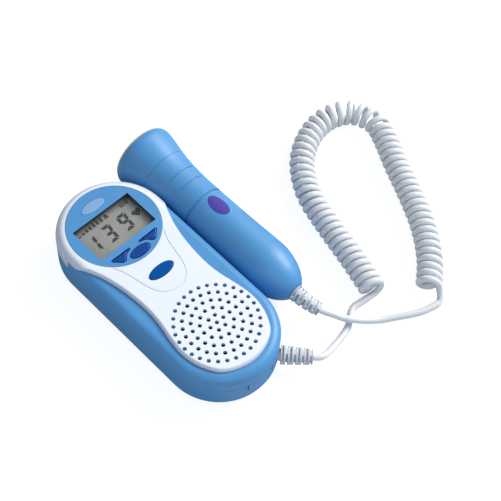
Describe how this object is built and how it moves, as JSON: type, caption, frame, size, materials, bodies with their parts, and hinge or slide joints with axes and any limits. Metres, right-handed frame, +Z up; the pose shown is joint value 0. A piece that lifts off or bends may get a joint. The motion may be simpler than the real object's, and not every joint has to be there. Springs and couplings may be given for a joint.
{
  "type": "fetal doppler monitor",
  "caption": "Hand-held fetal doppler monitor: flat unit with display, buttons and speaker grille, tied to a waisted ultrasound probe by a curly cord.",
  "frame": {"origin": "on the table, at the centre of the unit's flat base", "axes": "+Y along the unit towards its display end, +Z up out of its face, +X towards the probe beside it"},
  "size_m": [0.1905, 0.1628, 0.0352],
  "materials": {
    "housing": "satin",
    "cover": "satin",
    "pale_badge": "gloss",
    "purple_badge": "gloss",
    "lens": "clear",
    "lcd": "satin",
    "diffuser": "matt",
    "board": "satin",
    "button": "satin",
    "power_button": "satin",
    "dark_plastic": "matt",
    "seal": "matt",
    "paper": "matt",
    "magnet": "matt",
    "cell": "satin sleeve",
    "steel": "plated",
    "cord": "gloss",
    "relief": "satin",
    "face": "satin",
    "ceramic": "silvered",
    "backing": "matt"
  },
  "bodies": {
    "unit": {"rear_housing": "housing", "front_housing": "housing", "face_cover": "cover", "display_bezel": "housing", "bezel_badge": "pale_badge", "display_lens": "lens", "lcd_panel": "lcd", "lcd_backlight": "diffuser", "lcd_connector": "seal", "circuit_board": "board", "left_arrow_switch": "dark_plastic", "mode_switch": "dark_plastic", "right_arrow_switch": "dark_plastic", "power_switch": "dark_plastic", "speaker_gasket": "seal", "speaker_frame": "dark_plastic", "speaker_cone": "paper", "speaker_magnet": "magnet", "battery_1": "cell", "battery_2": "cell", "battery_spring_1": "steel", "battery_spring_2": "steel", "near_contact_strap": "steel", "positive_contact": "steel", "negative_contact": "steel", "housing_screw_1": "steel", "housing_screw_2": "steel", "housing_screw_3": "steel", "housing_screw_4": "steel", "unit_strain_relief": "relief", "unit_lead": "cord", "curly_cord": "cord", "probe_lead": "cord"},
    "battery_cover": {"battery_door": "housing"},
    "left_arrow": {"left_arrow_button": "button"},
    "mode": {"mode_button": "button"},
    "right_arrow": {"right_arrow_button": "button"},
    "power": {"power_button": "power_button"},
    "probe": {"probe_strain_relief": "relief", "probe_head_shell": "housing", "probe_neck_shell": "housing", "probe_grip": "housing", "probe_badge": "purple_badge", "transducer_face": "face", "head_seal": "seal", "transmit_crystal": "ceramic", "receive_crystal": "ceramic", "backing_block": "backing", "probe_board": "board"}
  },
  "joints": [
    {"name": "left_arrow_press", "type": "slide", "parent": "unit", "child": "left_arrow", "axis": [0, 0, -1], "range_m": [0, 0.0005], "stiffness_N_per_m": 3000},
    {"name": "mode_press", "type": "slide", "parent": "unit", "child": "mode", "axis": [0, 0, -1], "range_m": [0, 0.0005], "stiffness_N_per_m": 3000},
    {"name": "right_arrow_press", "type": "slide", "parent": "unit", "child": "right_arrow", "axis": [0, 0, -1], "range_m": [0, 0.0005], "stiffness_N_per_m": 3000},
    {"name": "power_press", "type": "slide", "parent": "unit", "child": "power", "axis": [0, 0, -1], "range_m": [0, 0.0005], "stiffness_N_per_m": 3000},
    {"name": "battery_door_slide", "type": "slide", "parent": "unit", "child": "battery_cover", "axis": [0, -1, 0], "range_m": [0, 0.02]},
    {"name": "probe_lift", "type": "slide", "parent": "unit", "child": "probe", "axis": [0, 0, 1], "range_m": [0, 0.05]}
  ]
}
